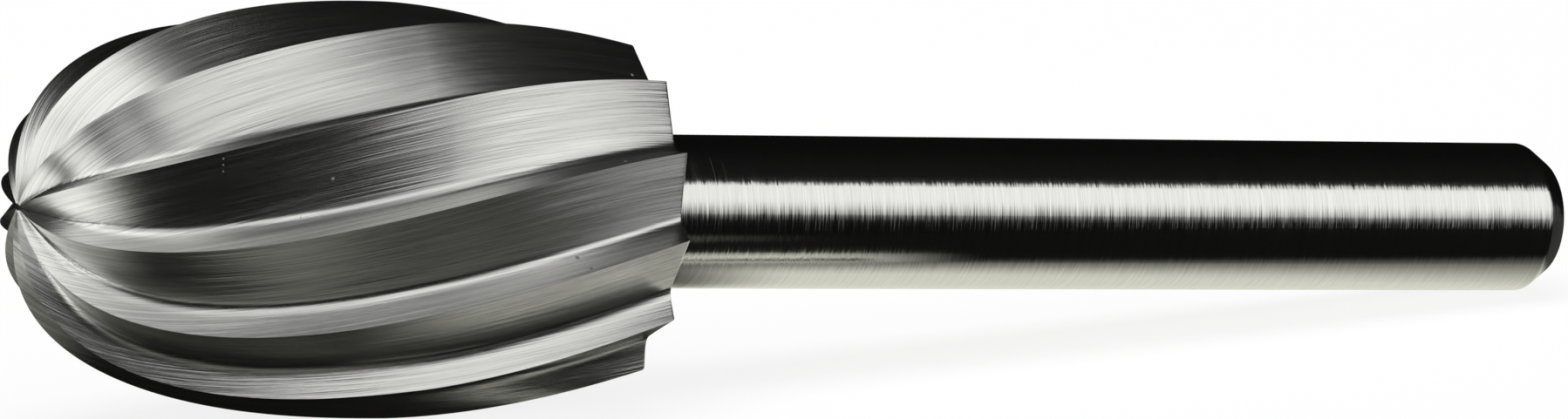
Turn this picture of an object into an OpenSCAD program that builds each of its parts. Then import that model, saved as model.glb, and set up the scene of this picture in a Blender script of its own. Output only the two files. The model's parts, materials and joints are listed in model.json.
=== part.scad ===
// Rotary burr ground from one bar of high speed steel.
// An egg-shaped head with twelve twisted teeth stands on a plain round shank.
// The burr lies as it comes to rest on a table: on two neighbouring teeth and on the
// end of its shank, with the nose towards -X and the shank towards +X.

/* [Head] */
// Widest diameter, measured over the cutting edges
head_d = 16; // [12:0.5:20]
// Length of the head from the foremost tooth tips to its flat back
head_l = 25; // [21:0.5:32]
// Distance of the widest section behind the nose
widest_at = 14.8; // [12:0.1:17]
// Diameter over the cutting edges at the flat back
back_d = 13; // [12:0.1:14]
// Fullness of the nose: 2 is an ellipse, more is blunter
nose_fullness = 2.6; // [2:0.05:3]
// Fullness of the rear half: 1 is a straight cone, 2 is a round curve
back_fullness = 1.7; // [1.2:0.05:2.5]
// Depth of the small hollow in the middle of the nose
dimple_depth = 0.4; // [0.1:0.05:0.6]
// Diameter of that hollow
dimple_d = 2.6; // [1.5:0.1:4]
// Rounding of the tooth corners at the flat back
corner_round = 0.2; // [0.05:0.05:0.4]

/* [Teeth] */
// Number of teeth round the head
teeth = 12; // [8:1:16]
// Depth of a flute at the widest section
flute_depth = 1.15; // [0.8:0.05:1.4]
// Lean of the rake face behind the radius that passes through its cutting edge
rake_lean = 24; // [5:1:25]
// Distance from a flute's bottom line at which its rounding starts
gullet_round = 0.42; // [0.2:0.02:0.6]
// Turn of each tooth between the nose and the flat back
twist = 40; // [20:0.5:50]
// How much more the teeth turn towards the back than at the nose
quickening = 0.28; // [0:0.02:0.5]

/* [Shank] */
// Diameter of the ground shank
shank_d = 6; // [4:0.5:7]
// Length of the shank behind the flat back
shank_l = 41; // [35:1:50]
// Length of the chamfer at the end of the shank
chamfer_l = 1; // [0.5:0.1:1.5]
// How much the chamfer takes off the shank's radius
chamfer_w = 0.7; // [0.3:0.1:1.2]
// Radius of the fillet where the shank meets the head
root_round = 0.5; // [0.3:0.1:1]

/* [Smoothness] */
// Sections from the nose to the widest place
nose_steps = 26; // [12:1:32]
// Sections from the widest place to the flat back
back_steps = 13; // [6:1:16]

/* [Hidden] */

steel = "#b9bab6";
head_r = head_d / 2;
shank_r = shank_d / 2;
pitch = 360 / teeth;
shank_start = head_l;
overall_l = head_l + shank_l;
end_r = shank_r - chamfer_w;
// The shank is rooted this deep in the head, well inside the flutes
root_depth = 3;
// The flutes get shallower where the head is narrow: half as deep where its radius
// has dropped by about this much
shallowing = 3.5;
// A flute's rounding is drawn through this many points, and the corner's through these
gullet_points = 4;
corner_steps = 3;
// Step along the outline over which its slope is measured
slope_step = 0.01;
$fn = 96;

// Straight mix of two values or points
function mix(a, b, t) = a + (b - a) * t;

// Outline of the cutting edges without the dimple, as [distance from the nose, radius].
// From 0 to 1 it runs over the nose, from 1 to 2 over the rear half.
function nose_outline(t) = [
    widest_at * (1 - pow(cos(90 * t), 2 / nose_fullness)),
    head_r * pow(sin(90 * t), 2 / nose_fullness)
];
function back_outline(t) = [
    mix(widest_at, head_l, t),
    mix(head_r, back_d / 2, pow(t, back_fullness))
];
function outline(s) = s <= 1 ? nose_outline(s) : back_outline(s - 1);

// The hollow in the middle of the nose carries every point near the axis backwards
function dimple(r) = dimple_depth * pow(max(0, 1 - 2 * r / dimple_d), 2);

// Direction from the outline into the steel: square to it on the nose, radial behind
function inward(s) =
    let (run = outline(min(s + slope_step, 1)) - outline(s - slope_step))
    s >= 1 ? [0, -1] : [run[1], -run[0]] / norm(run);

// Depth of the flutes for a cutting edge at this radius
function depth(r) = flute_depth * (r / head_r) * (head_r + shallowing) / (r + shallowing);

// Turn of a tooth at this distance from the nose, 0 at the flat back
function turn(x) =
    let (t = x / head_l)
    twist * (1 - t) * (1 + quickening * t);

// Tooth corners at the back are rounded by taking this much off their radius
function corner(x) =
    let (over = max(0, x - (head_l - corner_round)))
    corner_round - sqrt(max(0, corner_round * corner_round - over * over));

// A point from its distance from the nose, radius and angle. The angle starts at +Z and
// grows towards -Y.
function place(x, r, a) = [x, -r * sin(a), r * cos(a)];

// Stations of the sections along the outline, the last few round the back corner
corner_share = corner_round / (head_l - widest_at);
nose_stations = [for (i = [1:nose_steps]) i / nose_steps];
rear_stations = [for (i = [1:back_steps]) 1 + (1 - corner_share) * i / back_steps];
corner_stations = [
    for (i = [1:corner_steps]) 2 - corner_share * (1 - sin(90 * i / corner_steps))
];
stations = concat(nose_stations, rear_stations, corner_stations);

// Cutting edge of tooth number k at a station
function crest(s, k) =
    let (p = outline(s), r = p[1] - corner(p[0]))
    place(p[0] + dimple(p[1]), r, k * pitch + turn(p[0]));

// Bottom line of the flute in front of tooth number k at a station
function bottom(s, k) =
    let (
        p = outline(s),
        d = depth(p[1]),
        q = p + d * inward(s),
        lag = d * tan(rake_lean) / q[1] * 180 / PI
    )
    place(q[0] + dimple(q[1]), q[1], k * pitch + turn(p[0]) - lag);

// One tooth of a section: its cutting edge, then the rounding in the bottom of the next
// flute. The straight flanks between them are the relief face and the rake face.
function tooth_points(s, k) =
    let (
        a = crest(s, k),
        b = bottom(s, k + 1),
        c = crest(s, k + 1),
        scale_down = min(1, norm(c - b) / flute_depth),
        from = b + (a - b) / norm(a - b) * gullet_round * scale_down,
        to = b + (c - b) / norm(c - b) * gullet_round * scale_down
    )
    concat([a], [
        for (i = [0:gullet_points - 1])
            let (t = i / (gullet_points - 1))
            mix(mix(from, b, t), mix(b, to, t), t)
    ]);

function section(s) = [for (k = [0:teeth - 1]) each tooth_points(s, k)];

// The fluted head: sections lofted from the middle of the nose to the flat back
module head() {
    per_ring = teeth * (gullet_points + 1);
    rings = len(stations);
    apex = [[dimple_depth, 0, 0]];
    heel = [[head_l, 0, 0]];
    points = concat(apex, [for (s = stations) each section(s)], heel);
    first = 1;
    last = first + (rings - 1) * per_ring;
    cap = [for (j = [0:per_ring - 1]) [0, first + j, first + (j + 1) % per_ring]];
    sides = [
        for (i = [0:rings - 2], j = [0:per_ring - 1])
            let (
                a = first + i * per_ring + j,
                b = first + i * per_ring + (j + 1) % per_ring,
                c = b + per_ring,
                d = a + per_ring
            )
            each [[a, c, b], [a, d, c]]
    ];
    back = [for (j = [0:per_ring - 1]) [last + per_ring, last + (j + 1) % per_ring, last + j]];
    polyhedron(points, concat(cap, sides, back), convexity = 8);
}

// The shank with its root fillet and end chamfer, turned about the axis
module shank() {
    fillet = [
        for (a = [0:15:90])
            [shank_r + root_round * (1 - sin(a)), shank_start + root_round * (1 - cos(a))]
    ];
    rotate([0, 90, 0])
        rotate_extrude()
            polygon(concat(
                [[0, shank_start - root_depth], [shank_r + root_round, shank_start - root_depth]],
                fillet,
                [
                    [shank_r, overall_l - chamfer_l],
                    [end_r, overall_l],
                    [0, overall_l]
                ]
            ));
}

// How the burr lies. The shank rests on the corner before its chamfer, and the head on
// the cutting edges that reach lowest. The nose lifts until both touch the table.
foot_x = overall_l - chamfer_l;

// Tilt at which one tooth, rolled to this angle, and the shank's end both touch
function tooth_tilt(roll) = max([
    for (s = stations)
        let (p = crest(s, 0), q = place(p[0], norm([p[1], p[2]]), roll + turn(outline(s)[0])))
        atan2(-q[2] - shank_r, foot_x - q[0])
]);

// The burr rolls until two neighbouring teeth need the same tilt. Between the roll where
// one tooth is lowest and the roll where the next one is, halving finds that balance.
function settled_roll(low, high, rounds) =
    let (middle = (low + high) / 2)
    rounds == 0 ? middle :
    tooth_tilt(middle) > tooth_tilt(middle - pitch)
        ? settled_roll(middle, high, rounds - 1)
        : settled_roll(low, middle, rounds - 1);

lowest_roll = 180 - turn(widest_at);
roll = settled_roll(lowest_roll, lowest_roll + pitch, 24);
tilt = tooth_tilt(roll);

// A point of the burr after it has been rolled and has come to rest
function rest(p) =
    let (
        x = p[0],
        y = p[1] * cos(roll) - p[2] * sin(roll),
        z = p[1] * sin(roll) + p[2] * cos(roll)
    )
    [x * cos(tilt) + z * sin(tilt), y, z * cos(tilt) - x * sin(tilt)];

module lie_down() {
    edges = [for (s = stations, k = [0:teeth - 1]) rest(crest(s, k))];
    xs = [for (p = edges) p[0]];
    ys = [for (p = edges) p[1]];
    end_x = overall_l * cos(tilt) + end_r * sin(tilt);
    rim_x = foot_x * cos(tilt) + shank_r * sin(tilt);
    far_x = max(end_x, rim_x);
    seat_z = foot_x * sin(tilt) + shank_r * cos(tilt);
    translate([-(min(xs) + far_x) / 2, -(min(ys) + max(ys)) / 2, seat_z])
        rotate([0, tilt, 0])
            rotate([roll, 0, 0])
                children();
}

module burr() {
    color(steel)
        lie_down() {
            union() {
                head();
                shank();
            }
        }
}

burr();
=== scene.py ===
# %% [markdown]
# A rotary burr, dressed for its portrait. It is one piece of high speed steel: an
# egg-shaped head with twelve twisted teeth, and a plain round shank that a collet grips.
# The packed model is the frame. It gives the size, the slope at which the burr lies and
# the roll of its teeth, so this script only has to make the finer skin and the finish.

# %% Load the frame
import json
import math

import bmesh
import bpy
from mathutils import Matrix, Vector


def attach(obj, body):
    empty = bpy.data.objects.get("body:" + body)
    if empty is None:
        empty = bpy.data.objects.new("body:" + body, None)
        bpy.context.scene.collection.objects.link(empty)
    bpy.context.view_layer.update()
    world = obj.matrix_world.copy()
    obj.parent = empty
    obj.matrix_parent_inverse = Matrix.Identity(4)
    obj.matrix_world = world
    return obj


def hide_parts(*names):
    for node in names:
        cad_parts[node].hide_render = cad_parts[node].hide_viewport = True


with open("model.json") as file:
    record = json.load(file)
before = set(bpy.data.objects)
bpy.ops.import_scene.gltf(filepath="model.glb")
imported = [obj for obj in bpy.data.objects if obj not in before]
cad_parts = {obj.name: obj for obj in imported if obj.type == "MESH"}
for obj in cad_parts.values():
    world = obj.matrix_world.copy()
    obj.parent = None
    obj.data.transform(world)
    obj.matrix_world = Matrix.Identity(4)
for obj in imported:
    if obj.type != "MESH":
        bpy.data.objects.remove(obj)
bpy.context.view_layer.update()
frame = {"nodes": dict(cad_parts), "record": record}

# %% [markdown]
# The burr lies on two teeth and on the end of its shank, so its axis slopes. The mount on
# the shank's end face tells where the axis ends and which way it points. Everything that
# follows is built along a straight axis in millimetres and laid in place by one matrix.

# %% Where the axis lies
MM = 0.001
mounts = {m["name"]: m for m in frame["record"]["mounts"]}
axis_way = Vector(mounts["shank_end"]["axis"]).normalized()
axis_end = Vector(mounts["shank_end"]["pos_m"])
side_way = Vector((0, 1, 0))
up_way = axis_way.cross(side_way)
print("slope of the axis, degrees:", round(math.degrees(math.asin(-axis_way.z)), 2))

# %% [markdown]
# These sizes repeat the ones that the solid was made with, in millimetres and degrees.
# The head's outline is a blunt egg, the flutes are shallow V cuts with a round bottom,
# and the teeth turn a little faster towards the flat back. Three things are finer than in
# the solid: the middle of the nose is all but flat, the corners at the back are sharper,
# and each flute's bottom bends tighter on the relief side than on the rake side.

# %% Sizes of the burr
HEAD_R = 8.0
HEAD_L = 25.0
WIDEST_AT = 14.8
BACK_R = 6.5
NOSE_FULLNESS = 2.6
BACK_FULLNESS = 1.7
DIMPLE_DEPTH = 0.04
DIMPLE_R = 1.3
CORNER_ROUND = 0.12
TEETH = 12
FLUTE_DEPTH = 1.15
SHALLOWING = 3.5
RAKE_LEAN = 24.0
RELIEF_BEND = 0.35
RAKE_BEND = 0.5
TWIST = 40.0
QUICKENING = 0.28
SHANK_R = 3.0
OVERALL_L = 66.0
CHAMFER_L = 1.0
END_R = 2.3
ROOT_ROUND = 0.5
LAND = 0.05
PITCH = 360 / TEETH
print("teeth:", TEETH, "head mm:", 2 * HEAD_R, "x", HEAD_L, "overall mm:", OVERALL_L)

# %% [markdown]
# The outline is a curve of distance from the nose against radius. A blunt egg is an
# ellipse whose squares are replaced by a higher power, which keeps the nose full as the
# grinder left it. Behind the widest place the radius falls off by a gentler power.

# %% Outline, depth and turn of the teeth
def outline(s):
    """Distance and radius of the cutting edges: s runs 0 to 1 over the nose, 1 to 2 behind."""
    if s <= 1:
        angle = math.radians(90 * s)
        power = 2 / NOSE_FULLNESS
        across = max(0.0, math.cos(angle)) ** power
        return WIDEST_AT * (1 - across), HEAD_R * math.sin(angle) ** power
    t = s - 1
    x = WIDEST_AT + (HEAD_L - WIDEST_AT) * t
    return x, HEAD_R - (HEAD_R - BACK_R) * t**BACK_FULLNESS


def dimple(r):
    """How far the hollow in the nose carries a point of this radius backwards."""
    return DIMPLE_DEPTH * max(0.0, 1 - r / DIMPLE_R) ** 2


def inward(s, step=0.01):
    """Direction from the outline into the steel, as distance and radius."""
    if s >= 1:
        return 0.0, -1.0
    x0, r0 = outline(s - step if s > step else 0)
    x1, r1 = outline(min(s + step, 1))
    run = math.hypot(x1 - x0, r1 - r0)
    return (r1 - r0) / run, -(x1 - x0) / run


def flute_depth(r):
    return FLUTE_DEPTH * (r / HEAD_R) * (HEAD_R + SHALLOWING) / (r + SHALLOWING)


def turn(x):
    """Turn of a tooth at this distance from the nose, 0 at the flat back."""
    t = x / HEAD_L
    return TWIST * (1 - t) * (1 + QUICKENING * t)


def corner(x):
    """What the rounding of the corners at the back takes off the radius."""
    over = max(0.0, x - (HEAD_L - CORNER_ROUND))
    return CORNER_ROUND - math.sqrt(max(0.0, CORNER_ROUND**2 - over**2))


def place(x, r, degrees):
    """A point of the straight burr. The angle starts at +Z and grows towards -Y."""
    a = math.radians(degrees)
    return Vector((x, -r * math.sin(a), r * math.cos(a)))


def angle_of(point):
    """The angle that place() would need for this point, in radians."""
    return math.atan2(-point.y, point.z)


for s in (0.25, 0.5, 1, 1.5, 2):
    print("station", s, "outline mm", [round(v, 2) for v in outline(s)])

# %% [markdown]
# The solid has been rolled until two neighbouring teeth touch the table. The finer skin
# has to lie the same way, so the roll is read back from the solid: the vertex furthest
# from the axis, just before the back corner, is the tip of one tooth.

# %% Roll of the teeth, read from the solid
TIP_BEFORE_BACK = 0.2
TIP_SEARCH = 0.05


def axes(x_way, y_way, z_way, at):
    """Matrix whose three axes point these ways, with its origin at this place."""
    matrix = Matrix((x_way, y_way, z_way)).transposed().to_4x4()
    matrix.translation = at
    return matrix


origin = axis_end - axis_way * OVERALL_L * MM
tip_x = HEAD_L - TIP_BEFORE_BACK
tip_r, roll = 0.0, 0.0
for vertex in frame["nodes"]["burr"].data.vertices:
    away = (vertex.co - origin) / MM
    x, y, z = away.dot(axis_way), away.dot(side_way), away.dot(up_way)
    if abs(x - tip_x) < TIP_SEARCH and math.hypot(y, z) > tip_r:
        tip_r = math.hypot(y, z)
        roll = (math.degrees(math.atan2(-y, z)) - turn(x)) % PITCH
print("tip radius mm:", round(tip_r, 3), "roll degrees:", round(roll, 3))

lay_down = (
    axes(axis_way, side_way, up_way, origin)
    @ Matrix.Rotation(math.radians(roll), 4, "X")
    @ Matrix.Scale(MM, 4)
)

# %% [markdown]
# A tooth of one cross-section starts at its cutting edge, which carries a hair-fine land.
# The relief face falls away behind it in a straight line, turns in a small round at the
# flute's bottom and climbs as the rake face to the next edge. The worn corner of the
# grinding wheel leaves that round, and it draws the light line in every flute. Each section
# lists the same number of points, so that one ring of vertices can be pulled from section
# to section.

# %% One cross-section of the head
RELIEF_POINTS = 4
GULLET_POINTS = 8
RAKE_POINTS = 2
RAKE_LAND_SHARE = 0.3


def edge_and_bottom(s, tooth):
    """A tooth's cutting edge, and the bottom line of the flute in front of it."""
    x, r = outline(s)
    edge = place(x + dimple(r), r - corner(x), tooth * PITCH + turn(x))
    depth = flute_depth(r)
    into_x, into_r = inward(s)
    low_x, low_r = x + depth * into_x, r + depth * into_r
    lag = math.degrees(depth * math.tan(math.radians(RAKE_LEAN)) / low_r)
    low = place(low_x + dimple(low_r), low_r, tooth * PITCH + turn(x) - lag)
    return edge, low


def tooth_outline(s, tooth):
    """Points from one cutting edge to just before the next one."""
    a, _ = edge_and_bottom(s, tooth)
    c, b = edge_and_bottom(s, tooth + 1)
    small = min(1.0, (c - b).length / FLUTE_DEPTH)
    fall, climb = (a - b).normalized(), (c - b).normalized()
    relief_end = b + fall * RELIEF_BEND * small
    rake_start = b + climb * RAKE_BEND * small
    land_end = a - fall * LAND * small
    rake_end = c - climb * LAND * RAKE_LAND_SHARE * small
    points = [a]
    points += [land_end.lerp(relief_end, i / RELIEF_POINTS) for i in range(RELIEF_POINTS)]
    for i in range(GULLET_POINTS):
        t = i / (GULLET_POINTS - 1)
        points.append(relief_end.lerp(b, t).lerp(b.lerp(rake_start, t), t))
    points += [rake_start.lerp(rake_end, (i + 1) / RAKE_POINTS) for i in range(RAKE_POINTS)]
    return points


def head_ring(s):
    return [p for tooth in range(TEETH) for p in tooth_outline(s, tooth)]


PER_TOOTH = 1 + RELIEF_POINTS + GULLET_POINTS + RAKE_POINTS
PER_RING = TEETH * PER_TOOTH
print("points in a ring:", PER_RING)

# %% [markdown]
# Behind the head every ring is a circle. The back face runs in to the root fillet, the
# shank flares by a hair where the wheel ran out beside it, then is a straight cylinder,
# and a chamfer with slightly broken edges ends it.

# %% Rings of the back face and the shank
BREAK = 0.12
FLARE = 0.045
FLARE_L = 0.9
QUARTER_TURN = [math.radians(a) for a in range(0, 91, 15)]
ring_angles = [math.degrees(angle_of(p)) for p in head_ring(2)]


def circle_ring(x, r):
    """A circle whose points keep the angles of the last section of the head."""
    return [place(x, r, angle) for angle in ring_angles]


def rounded_corner(before, point, after, steps=5):
    """A small round between two straight runs of the shank's outline."""
    here = Vector(point)
    start = here + (Vector(before) - here).normalized() * BREAK
    end = here + (Vector(after) - here).normalized() * BREAK
    return [
        tuple(start.lerp(here, i / steps).lerp(here.lerp(end, i / steps), i / steps))
        for i in range(steps + 1)
    ]


fillet = [
    (
        HEAD_L + ROOT_ROUND * (1 - math.cos(a)),
        SHANK_R + FLARE + (ROOT_ROUND - FLARE) * (1 - math.sin(a)),
    )
    for a in QUARTER_TURN
]
flare_start = HEAD_L + ROOT_ROUND
flare_steps = len(QUARTER_TURN) - 1
flare = [
    (flare_start + FLARE_L * i / flare_steps, SHANK_R + FLARE * (1 - math.sin(a)))
    for i, a in enumerate(QUARTER_TURN)
][1:]
shoulder = (OVERALL_L - CHAMFER_L, SHANK_R)
rim = (OVERALL_L, END_R)
shank_run = (
    fillet
    + flare
    + rounded_corner(flare[-1], shoulder, rim)
    + rounded_corner(shoulder, rim, (OVERALL_L, 0))
)
print("rings of the shank:", len(shank_run))

# %% [markdown]
# One ring of edges is made at the nose and extruded from section to section, the way a
# loft is pulled by hand. After each extrusion the new ring is moved to its own section.
# The two open ends are filled and poked, so that both close in one middle vertex. An
# extrusion lists its faces in an order that changes from run to run, so at the end all
# is sorted by ring and column.

# %% Pull the burr out of one ring
NOSE_STATIONS = 74
REAR_STATIONS = 40
CORNER_STATIONS = 4
NOSE_CROWDING = 1.15
corner_share = CORNER_ROUND / (HEAD_L - WIDEST_AT)
stations = [(i / NOSE_STATIONS) ** NOSE_CROWDING for i in range(1, NOSE_STATIONS + 1)]
stations += [1 + (1 - corner_share) * i / REAR_STATIONS for i in range(1, REAR_STATIONS + 1)]
stations += [
    2 - corner_share * (1 - math.sin(math.radians(90 * i / CORNER_STATIONS)))
    for i in range(1, CORNER_STATIONS + 1)
]
head_rings = [head_ring(s) for s in stations]
rings = head_rings + [circle_ring(x, r) for x, r in shank_run]

mesh = bmesh.new()
ring_of = mesh.verts.layers.int.new("ring")
column_of = mesh.verts.layers.int.new("column")
bmesh.ops.create_circle(mesh, segments=PER_RING, radius=1)
mesh.verts.ensure_lookup_table()
loop = list(mesh.verts)
for number, points in enumerate(rings):
    if number:
        grown = bmesh.ops.extrude_edge_only(mesh, edges=edges)
        new = {v for v in grown["geom"] if isinstance(v, bmesh.types.BMVert)}
        ahead = [[e.other_vert(v) for e in v.link_edges] for v in loop]
        loop = [next(v for v in near if v in new) for near in ahead]
    for column, (vertex, point) in enumerate(zip(loop, points)):
        vertex.co = point
        vertex[ring_of] = number
        vertex[column_of] = column
    edges = [mesh.edges.get(pair) for pair in zip(loop, loop[1:] + loop[:1])]

open_edges = [e for e in mesh.edges if e.is_boundary]
caps = bmesh.ops.holes_fill(mesh, edges=open_edges, sides=0)["faces"]
for centre in bmesh.ops.poke(mesh, faces=caps)["verts"]:
    at_nose = centre.co.x < HEAD_L
    centre.co = (DIMPLE_DEPTH, 0, 0) if at_nose else (OVERALL_L, 0, 0)
    centre[ring_of] = -1 if at_nose else len(rings)
bmesh.ops.recalc_face_normals(mesh, faces=mesh.faces)


def place_in_list(element):
    """One number for an edge or a face, from its first two corners and its last."""
    numbers = sorted(v.index for v in element.verts)
    return (numbers[0] * len(mesh.verts) + numbers[1]) * len(mesh.verts) + numbers[-1]


mesh.verts.sort(key=lambda v: v[ring_of] * PER_RING + v[column_of])
mesh.verts.index_update()
mesh.edges.sort(key=place_in_list)
mesh.faces.sort(key=place_in_list)
print("faces:", len(mesh.faces), "open edges:", sum(e.is_boundary for e in mesh.edges))

# %% [markdown]
# Ground steel looks right only if its fine lines follow the wheel. A UV layer named grain
# holds millimetres along the lines and millimetres across them. On the head the lines run
# along each flute, on the back face and the shank they run round the axis. The same
# layer then serves every material.

# %% Grain direction as a UV layer
TOOTH_STEP = 40.0
LAST_HEAD_RING = len(head_rings) - 1
FLANK, REST = 0, 1
grain = mesh.loops.layers.uv.new("grain")


def running_length(points):
    """Length of the way along these points, at each of them."""
    lengths = [0.0]
    for p, q in zip(points, points[1:]):
        lengths.append(lengths[-1] + (q - p).length)
    return lengths


along_head = running_length([ring[0] for ring in head_rings])
across_tooth = running_length(tooth_outline(1, 0) + [edge_and_bottom(1, 1)[0]])


def column_in_face(vertex, face):
    """A face that closes the ring takes column 0 as the one after the last."""
    columns = [v[column_of] for v in face.verts if 0 <= v[ring_of] < len(rings)]
    column = vertex[column_of]
    return column + PER_RING if column == 0 and max(columns) == PER_RING - 1 else column


def grain_on_head(vertex, face):
    """Along the flute and across it. Each tooth has its own strip of the pattern."""
    tooth = min(column_in_face(v, face) for v in face.verts) // PER_TOOTH
    step = min(max(column_in_face(vertex, face) - tooth * PER_TOOTH, 0), PER_TOOTH)
    narrow = math.hypot(vertex.co.y, vertex.co.z) / HEAD_R
    along = along_head[max(vertex[ring_of], 0)]
    return along, across_tooth[step] * narrow + tooth * TOOTH_STEP


def grain_behind(vertex, face):
    """Round the axis, and inwards or along it, without a jump where the circle closes."""
    angle = angle_of(vertex.co)
    middle = angle_of(face.calc_center_median())
    if middle - angle > math.pi:
        angle += math.tau
    elif angle - middle > math.pi:
        angle -= math.tau
    r = math.hypot(vertex.co.y, vertex.co.z)
    return angle * SHANK_R, vertex.co.x + (SHANK_R - r)


for face in mesh.faces:
    on_head = max(v[ring_of] for v in face.verts) <= LAST_HEAD_RING
    face.smooth = True
    face.material_index = FLANK if on_head else REST
    grain_at = grain_on_head if on_head else grain_behind
    for face_corner in face.loops:
        face_corner[grain].uv = grain_at(face_corner.vert, face)
print("length of a flute mm:", round(along_head[-1], 2))

# %% [markdown]
# The cutting edges, the back corner and the rim of the back face must stay crisp. Edges
# marked as not smooth split the shading there, and the rest of the skin is smooth.

# %% Crisp edges
LAND_COLUMNS = (0, 1, PER_TOOTH - 1)
BACK_RIM_RINGS = (LAST_HEAD_RING, LAST_HEAD_RING + 1)
crisp = 0
for edge in mesh.edges:
    a, b = edge.verts
    ring_a, ring_b = sorted((a[ring_of], b[ring_of]))
    same_column = a[column_of] == b[column_of]
    if same_column and 0 <= ring_a and ring_b <= LAST_HEAD_RING:
        edge.smooth = a[column_of] % PER_TOOTH not in LAND_COLUMNS
    if ring_a == ring_b and ring_a in BACK_RIM_RINGS:
        edge.smooth = False
    crisp += not edge.smooth
print("crisp edges:", crisp)

# %% [markdown]
# One matrix turns the straight burr, takes it from millimetres to metres and lays it on the
# table. The skin then rides on the root body and stands in for the solid.

# %% Lay the burr down
def add_object(name, data):
    thing = bpy.data.objects.new(name, data)
    bpy.context.scene.collection.objects.link(thing)
    return thing


bmesh.ops.transform(mesh, matrix=lay_down, verts=mesh.verts)
skin = bpy.data.meshes.new("burr_skin")
mesh.to_mesh(skin)
mesh.free()
burr = add_object("burr_skin", skin)
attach(burr, "root")
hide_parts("burr")
print("skin, mm:", [round(v / MM, 2) for v in burr.dimensions])

# %% [markdown]
# Shader maths reads best as plain expressions. A small class wraps a socket, and adding
# or multiplying two of them makes the Math node. Every other node comes from one method
# that takes the node's type, its settings and what goes into its sockets.

# %% Helpers for shaders
class Socket:
    def __init__(self, graph, socket):
        self.graph = graph
        self.socket = socket

    def __add__(self, other):
        return self.graph.maths("ADD", self, other)

    __radd__ = __add__

    def __mul__(self, other):
        return self.graph.maths("MULTIPLY", self, other)

    __rmul__ = __mul__

    def __sub__(self, other):
        return self.graph.maths("SUBTRACT", self, other)

    def __rsub__(self, other):
        return self.graph.maths("SUBTRACT", other, self)


class Graph:
    def __init__(self, owner):
        owner.use_nodes = True
        self.tree = owner.node_tree
        self.tree.nodes.clear()

    def node(self, kind, settings, sockets, output=0):
        node = self.tree.nodes.new(kind)
        for name, value in settings.items():
            setattr(node, name, value)
        for name, value in sockets.items():
            if isinstance(value, Socket):
                self.tree.links.new(value.socket, node.inputs[name])
            else:
                node.inputs[name].default_value = value
        return Socket(self, node.outputs[output]) if node.outputs else None

    def maths(self, operation, first, second):
        return self.node("ShaderNodeMath", {"operation": operation}, {0: first, 1: second})

    def vector(self, operation, sockets, output=0):
        return self.node("ShaderNodeVectorMath", {"operation": operation}, sockets, output)

    def stretched(self, vector, factor):
        return self.vector("SCALE", {0: vector, "Scale": factor})

    def length(self, vector):
        return self.vector("LENGTH", {0: vector}, "Value")

    def brightest(self, first, *others):
        for other in others:
            first = self.maths("MAXIMUM", first, other)
        return first

    def ramp(self, value, low, high, to_low=0.0, to_high=1.0):
        """Smooth step from to_low to to_high as value goes from low to high."""
        sockets = {0: value, 1: low, 2: high, 3: to_low, 4: to_high}
        return self.node("ShaderNodeMapRange", {"interpolation_type": "SMOOTHSTEP"}, sockets)

    def blend(self, factor, a, b):
        """Mix of two colours."""
        return self.node("ShaderNodeMix", {"data_type": "RGBA"}, {0: factor, 6: a, 7: b}, 2)

    def split(self, vector):
        """The x, y and z of a vector."""
        x = self.node("ShaderNodeSeparateXYZ", {}, {0: vector})
        return [Socket(self, output) for output in x.socket.node.outputs]

    def lines(self, along, across, detail=2.0, seed=0.0):
        """Noise drawn out along the grain."""
        where = self.node("ShaderNodeCombineXYZ", {}, {0: along, 1: across, 2: seed})
        sockets = {"Vector": where, "Scale": 1.0, "Detail": detail, "Roughness": 0.6}
        return self.node("ShaderNodeTexNoise", {}, sockets)

    def coordinates(self, kind):
        return self.node("ShaderNodeTexCoord", {}, {}, kind)

    def seen_by_camera(self):
        """1 for what the camera sees itself, 0 for what mirrors and shadows see."""
        return self.node("ShaderNodeLightPath", {}, {}, "Is Camera Ray")

    def emission(self, colour, strength):
        return self.node("ShaderNodeEmission", {}, {"Color": colour, "Strength": strength})

    def show(self, shader, output="ShaderNodeOutputMaterial"):
        self.node(output, {}, {"Surface": shader})


def new_material(name):
    material = bpy.data.materials.new(name)
    return material, Graph(material)


print("shader helpers:", [name for name in vars(Graph) if not name.startswith("_")])

# %% [markdown]
# The head's faces were ground along the flutes. The wheel leaves lines about a tenth of a
# millimetre apart, several millimetres long, that catch the light one by one. They are
# kept as a very small bump, with a little of the same pattern in roughness and colour.
# Lines finer than a pixel can't be drawn one by one. They tip the normal to and fro across
# the grain, which blurs a reflection across the lines and leaves it long along them. A few
# nicks and two stains on the teeth stand where the real burr has them.

# %% Ground steel of the teeth
STAIN_COLOUR = (0.12, 0.115, 0.10, 1)
NICK_ROUGHNESS = 0.5
STAIN_STRENGTH = 0.6


def brushed_normal(graph, along, across, spread, waver):
    """Tip the normal to and fro across the grain, and a little along it from line to line."""
    normal = graph.node("ShaderNodeNewGeometry", {}, {}, "Normal")
    by_uv = {"direction_type": "UV_MAP", "uv_map": "grain"}
    grain_way = graph.node("ShaderNodeTangent", by_uv, {})
    across_way = graph.vector("CROSS_PRODUCT", {0: normal, 1: grain_way})
    hair = graph.lines(along * 0.15, across * 60.0, detail=0.0, seed=1.0)
    line = graph.lines(along * 0.8, across * 14.0, detail=1.0, seed=9.0)
    tip_across = graph.stretched(across_way, (hair - 0.5) * spread)
    tip_along = graph.stretched(grain_way, (line - 0.5) * waver)
    tipped = graph.vector("ADD", {0: normal, 1: tip_across})
    tipped = graph.vector("ADD", {0: tipped, 1: tip_along})
    return graph.vector("NORMALIZE", {0: tipped})


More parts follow.
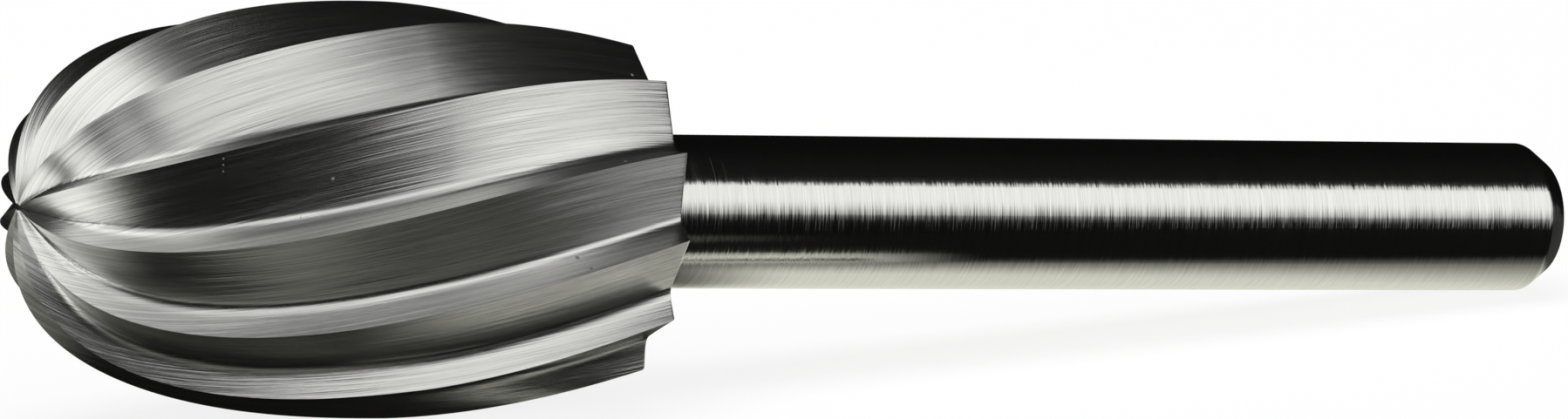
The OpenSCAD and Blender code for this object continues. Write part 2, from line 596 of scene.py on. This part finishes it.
def steel(name, colour_low, colour_high, spread, waver, bump, build):
    """Ground steel: build() draws its height, shade, roughness and stains."""
    material, graph = new_material(name)
    uv = graph.node("ShaderNodeUVMap", {"uv_map": "grain"}, {})
    along, across, _ = graph.split(uv)
    height, shade, roughness, stain = build(graph, along, across)
    brushed = brushed_normal(graph, along, across, spread, waver)
    relief = {"Strength": 1.0, "Distance": bump, "Height": height, "Normal": brushed}
    colour = graph.blend(shade, (*colour_low, 1), (*colour_high, 1))
    finish = {
        "Base Color": graph.blend(stain, colour, STAIN_COLOUR),
        "Metallic": 1.0,
        "Roughness": roughness,
        "Normal": graph.node("ShaderNodeBump", {}, relief),
    }
    graph.show(graph.node("ShaderNodeBsdfPrincipled", {}, finish))
    return material


def marks(graph, places):
    """Small round marks on the skin: each place is a point and a radius in millimetres."""
    where = graph.coordinates("Object")
    total = 0.0
    for x, y, z, radius in places:
        offset = graph.vector("SUBTRACT", {0: where, 1: (x * MM, y * MM, z * MM)})
        away = graph.length(offset)
        total = total + graph.ramp(away, 0.4 * radius * MM, radius * MM, 1.0, 0.0)
    return total


NICKS = [
    (-22.77, -6.63, 10.51, 0.07),
    (-24.09, -6.59, 9.13, 0.06),
    (-8.26, -1.76, 12.5, 0.08),
    (-10.51, -5.98, 9.97, 0.06),
    (-27.0, -6.28, 11.59, 0.04),
    (-27.0, -6.25, 11.35, 0.04),
    (-27.0, -6.22, 11.1, 0.04),
]
STAINS = [(-12.84, -6.57, 6.55, 0.11), (-12.51, -7.12, 6.2, 0.09)]


def flank_grain(graph, along, across):
    skew = across + along * 0.03
    coarse = graph.lines(along * 0.10, skew * 5.0)
    fine = graph.lines(along * 0.2, skew * 21.0, seed=7.0)
    patch = graph.lines(along * 0.25, across * 0.5, seed=3.0)
    scratch = graph.lines(along * 0.05, skew * 9.0, detail=0.5, seed=21.0)
    scratch = graph.ramp(scratch, 0.60, 0.68)
    height = coarse * 0.4 + fine * 0.4
    shade = graph.ramp(coarse * 0.6 + fine * 0.4 - scratch * 0.2, 0.33, 0.67)
    roughness = 0.19 + 0.07 * coarse + 0.05 * patch + NICK_ROUGHNESS * marks(graph, NICKS)
    return height, shade, roughness, STAIN_STRENGTH * marks(graph, STAINS)


flank = steel(
    "ground_flank",
    colour_low=(0.58, 0.58, 0.57),
    colour_high=(0.76, 0.76, 0.745),
    spread=0.42,
    waver=0.04,
    bump=6e-6,
    build=flank_grain,
)
burr.data.materials.append(flank)
print("nicks:", len(NICKS), "stains:", len(STAINS), "nodes:", len(flank.node_tree.nodes))

# %% [markdown]
# The shank was ground between centres, so its lines run round it. They are much finer
# than on the teeth, and a little coarser beside the head where the wheel ran out.

# %% Ground steel of the shank and the back face
RUN_OUT = (26.0, 33.0)


def shank_grain(graph, along, across):
    run_out = graph.ramp(across, *RUN_OUT, 0.3, 0.2)
    coarse = graph.lines(along * 0.12, across * 7.0, seed=11.0)
    fine = graph.lines(along * 0.3, across * 26.0, seed=5.0)
    height = coarse * run_out * 0.5 + fine * 0.3
    shade = graph.ramp(coarse * 0.3 + fine * 0.7, 0.3, 0.7)
    roughness = 0.10 + 0.06 * coarse
    return height, shade, roughness, 0.0


shank = steel(
    "ground_shank",
    colour_low=(0.66, 0.66, 0.64),
    colour_high=(0.78, 0.78, 0.76),
    spread=0.5,
    waver=0.1,
    bump=2.5e-6,
    build=shank_grain,
)
burr.data.materials.append(shank)
print("materials of the burr:", [m.name for m in burr.data.materials])

# %% [markdown]
# The camera looks along the burr from the nose side and a little from above, from about
# a third of a metre away through a long lens, so the shank tapers only slightly.

# %% Camera
PHOTO_W = 1798
SENSOR_W = 36
CAMERA_AT = Vector((-147.08, -311.48, 68.77)) * MM
LOOK = Vector((0.41759, 0.89089, -0.17868)).normalized()
PICTURE_RIGHT = Vector((0.90414, -0.42695, -0.0157))
FOCAL_PIXELS = 10250
right = (PICTURE_RIGHT - LOOK * PICTURE_RIGHT.dot(LOOK)).normalized()
camera = add_object("camera", bpy.data.cameras.new("camera"))
camera.data.sensor_width = SENSOR_W
camera.data.lens = FOCAL_PIXELS / PHOTO_W * SENSOR_W
camera.data.clip_start, camera.data.clip_end = 0.01, 10
camera.matrix_world = axes(right, right.cross(LOOK), -LOOK, CAMERA_AT)
bpy.context.scene.camera = camera
print("lens mm:", round(camera.data.lens, 1))

# %% [markdown]
# Polished metal is a picture of what stands round it. The studio has a long soft box in
# front, one beyond the nose, one that reaches over the top and a weak glow past the
# shank's end. Behind and above the shank it is dark. The world shader draws them by
# direction: ray_x tells how far a direction points along the burr, and round_burr tells
# its angle round the burr in degrees, 0 towards the front, 90 straight up and negative
# towards the table. Each box is a product of smooth steps, which gives it the soft edges
# that real boxes have.

# %% Studio light
LAMP_LEVEL = 1.3
SIDE_LEVEL = 0.42
DARK_ROOM = 0.004
BACKDROP_LEVEL = 1.0
WHITE = (1.0, 1.0, 0.985, 1)

world = bpy.data.worlds.new("studio")
bpy.context.scene.world = world
sky = Graph(world)
ray_x, ray_y, ray_z = sky.split(sky.coordinates("Generated"))
round_burr = sky.maths("ARCTAN2", ray_z, 0 - ray_y) * (180 / math.pi)

lower_edge = (
    sky.ramp(ray_x, -0.38, -0.02, 28.0, 8.0)
    + sky.ramp(ray_x, 0.0, 0.3, 0.0, 7.0)
    + sky.ramp(ray_x, -0.48, -0.40, -14.0, 0.0)
    + sky.ramp(ray_x, 0.41, 0.54, 0.0, -12.0)
)
softness = sky.ramp(ray_x, 0.1, 0.45, 7.0, 13.0)
upper_part = sky.ramp(ray_x, 0.22, 0.38, 0.14, 0.85) * sky.ramp(ray_x, 0.40, 0.74, 1.0, 0.03)
front_height = (
    sky.ramp(round_burr - lower_edge, 0 - softness, softness)
    * sky.ramp(round_burr, 44.0, 58.0, 1.0, upper_part)
    * sky.ramp(round_burr, 80.0, 98.0, 1.0, 0.0)
)
hot_band = (
    sky.ramp(round_burr, 8.0, 24.0, 0.7, 0.0)
    * sky.ramp(ray_x, 0.1, 0.4, 1.0, 0.0)
    * sky.ramp(ray_x, -0.45, -0.2)
)
front_level = (
    sky.ramp(ray_x, -0.5, 0.35, 0.72, 1.08)
    * sky.ramp(ray_x, 0.74, 0.90, 1.0, 0.68)
    * sky.ramp(ray_x, 0.50, 0.70, 1.0, 1.12)
    * (1 + hot_band)
)
nose_box = (
    LAMP_LEVEL
    * sky.ramp(ray_x, -0.92, -0.7, 1.0, 0.0)
    * sky.ramp(round_burr, 105.0, 125.0, 1.0, 0.0)
    * sky.ramp(round_burr, -75.0, -50.0)
)
side_glow = (
    SIDE_LEVEL
    * sky.ramp(ray_x, 0.62, 0.74)
    * sky.ramp(round_burr, -62.0, -48.0)
    * sky.ramp(round_burr, 10.0, 40.0, 1.0, 0.0)
)
top_edge = sky.ramp(ray_x, -0.15, -0.04, 44.0, 72.0)
over_top = (
    sky.ramp(round_burr - top_edge, 0.0, 16.0)
    * sky.ramp(ray_x, -0.2, 0.15, LAMP_LEVEL, 0.0)
    * sky.ramp(round_burr, 95.0, 115.0, 1.0, 0.0)
)
front_box = front_height * front_level
metal_sees = sky.brightest(front_box, nose_box, over_top, side_glow) + DARK_ROOM
seen = sky.seen_by_camera()
strength = metal_sees * (1 - seen) + seen * BACKDROP_LEVEL
backdrop = sky.node("ShaderNodeBackground", {}, {"Color": WHITE, "Strength": strength})
sky.show(backdrop, "ShaderNodeOutputWorld")
print("nodes in the studio light:", len(sky.tree.nodes))

# %% [markdown]
# The table is white. The camera sees it as white with a soft shadow, and the metal does
# not see it at all: it would fill the dark half of every reflection with light.

# %% Table
TABLE_REACH = 3000
TABLE_PAINT = (0.88, 0.88, 0.88, 1)
TABLE_SHINE = 0.86


def flat_sheet(name, x_range, y_range, z):
    """A level sheet between these bounds, in millimetres."""
    sheet = bmesh.new()
    bmesh.ops.create_grid(sheet, x_segments=1, y_segments=1, size=0.5)
    width, length = (x_range[1] - x_range[0]) * MM, (y_range[1] - y_range[0]) * MM
    middle = Vector((sum(x_range) / 2, sum(y_range) / 2, z)) * MM
    to_place = Matrix.Translation(middle) @ Matrix.Diagonal((width, length, 1, 1))
    bmesh.ops.transform(sheet, matrix=to_place, verts=sheet.verts)
    data = bpy.data.meshes.new(name)
    sheet.to_mesh(data)
    sheet.free()
    thing = add_object(name, data)
    return thing


table = flat_sheet("table", (-TABLE_REACH, TABLE_REACH), (-TABLE_REACH, TABLE_REACH), 0)
table.visible_glossy = False
paper, top = new_material("white_table")
body = top.node("ShaderNodeBsdfDiffuse", {}, {"Color": TABLE_PAINT})
shine = top.emission((1, 1, 1, 1), 1.0)
share = TABLE_SHINE * top.seen_by_camera()
top.show(top.node("ShaderNodeMixShader", {}, {0: share, 1: body, 2: shine}))
table.data.materials.append(paper)
print("table, m:", [round(v, 2) for v in table.dimensions])

# %% [markdown]
# A small sheet of paper lies under and behind the burr, and only reflections see it. Its glow
# is painted light and painted shadow. It gives the pale band along the bottom of the shank and
# the bright patch beside the nose. What it shows is set by place: bright beyond the nose, pale
# behind the burr, a narrow pale strip under the head, painted shade past the shank's end, and
# nearly dark in the rest of the burr's own shadow, which is painted into the glow.

# %% Paper that the metal sees, glowing with painted light and painted shadow
SHADOW_GLOW = 0.006


def for_reflections(sheet):
    """Only mirrored rays see this sheet."""
    sheet.visible_camera = False
    sheet.visible_diffuse = False
    sheet.visible_shadow = False
    return sheet


near_sheet = for_reflections(flat_sheet("near_sheet", (-75, 60), (-14, 80), 0.02))
painted_light_paper, low = new_material("painted_light_paper")
floor = low.stretched(low.coordinates("Object"), 1 / MM)
floor_x, floor_y, _ = low.split(floor)
# The burr's painted shadow: the pale glow behind the burr fades out inside this ellipse round
# the head.
head_shadow_reach = low.vector("MULTIPLY_ADD", {0: floor, 1: (0.062, 0.08, 0), 2: (1.15, -0.1, 0)})
beside_nose = low.ramp(floor_x, -24, -12) + low.ramp(floor_y, 5, 10, 0.5, 0.0)
behind = (
    0.8
    * low.ramp(floor_y - 0.02 * floor_x, -4.6, -1.3)
    * low.ramp(low.length(head_shadow_reach), 0.75, 1.2)
    * low.maths("MINIMUM", beside_nose, 1.0)
    # painted shade on the paper past the shank's end
    * low.ramp(floor_x, 32.8, 34.5, 1.0, 0.05)
)
shade_edge = floor_y + low.ramp(floor_x, -24, -16, 0.0, 2.2)
before_head = (
    low.ramp(floor_x, -24, -14, 0.22, 0.11)
    * low.ramp(floor_x, -8, 4, 1.0, 0.0)
    * low.ramp(shade_edge, -9.4, -7.6, 1.0, 0.0)
)
beyond_nose = (
    1.25
    * low.ramp(0 - floor_x, 34.5, 41.5)
    * low.ramp(floor_y + floor_x * 0.6, -39.5, -32.5)
    * low.ramp(floor_y, 3, 8, 1.0, 0.0)
)
# A narrow strip of painted light under the head.
under_head = (
    0.72
    * low.ramp(floor_x, -22, -12)
    * low.ramp(floor_x, 0, 8, 1.0, 0.0)
    * low.ramp(floor_y, -6.8, -5.0)
    * low.ramp(floor_y, -4.2, -3.2, 1.0, 0.0)
)
glow = low.brightest(behind, beyond_nose, before_head, under_head) + SHADOW_GLOW
tint = low.blend(beyond_nose, (1.0, 1.01, 0.885, 1), (1, 1, 0.97, 1))
low.show(low.emission(tint, glow))
near_sheet.data.materials.append(painted_light_paper)
print("paper, mm:", [round(v / MM, 1) for v in near_sheet.dimensions])

# %% [markdown]
# A black card hangs above the shank, again only for reflections. Its front edge ends the
# bright line along the shank, and the head in front of it keeps the light from above.

# %% Black card
CARD_HEIGHT = 40
black_card = for_reflections(flat_sheet("black_card", (4, 150), (-28.5, 60), CARD_HEIGHT))
card_black, card = new_material("card_black")
card.show(card.emission((1, 1, 1, 1), DARK_ROOM))
black_card.data.materials.append(card_black)
print("black card, mm:", [round(v / MM, 1) for v in black_card.dimensions])

# %% [markdown]
# The lowest tooth shows black in the shade under the head. A black strip on edge, hardly
# a millimetre high, stands there as painted shade and keeps the paper's light from it.

# %% Black strip of painted shade under the head
STRIP_AT_Y = -4.2
painted_shade_strip = for_reflections(flat_sheet("painted_shade_strip", (-26, 3), (0, 1.2), 0))
on_edge = Matrix.Rotation(math.radians(90), 4, "X")
painted_shade_strip.data.transform(Matrix.Translation((0, STRIP_AT_Y * MM, 0)) @ on_edge)
painted_shade_strip.data.materials.append(card_black)
print("black strip, mm high:", round(painted_shade_strip.dimensions.z / MM, 2))

# %% [markdown]
# One large lamp hangs over the burr and only makes the soft shadow on the table. The metal
# doesn't see it, because the light that it mirrors is drawn by the world shader above.

# %% Overhead lamp for the shadow
lamp = add_object("overhead", bpy.data.lights.new("overhead", "AREA"))
lamp.data.shape = "RECTANGLE"
lamp.data.size, lamp.data.size_y = 0.35, 0.25
lamp.data.energy = 1.2
lamp.location = (0.0, 0.05, 0.4)
lamp.visible_glossy = False
print("overhead lamp, watts:", round(lamp.data.energy, 2))

# %% [markdown]
# The Standard view shows colours as they are written, without a film curve.

# %% Colour handling
bpy.context.scene.view_settings.view_transform = "Standard"
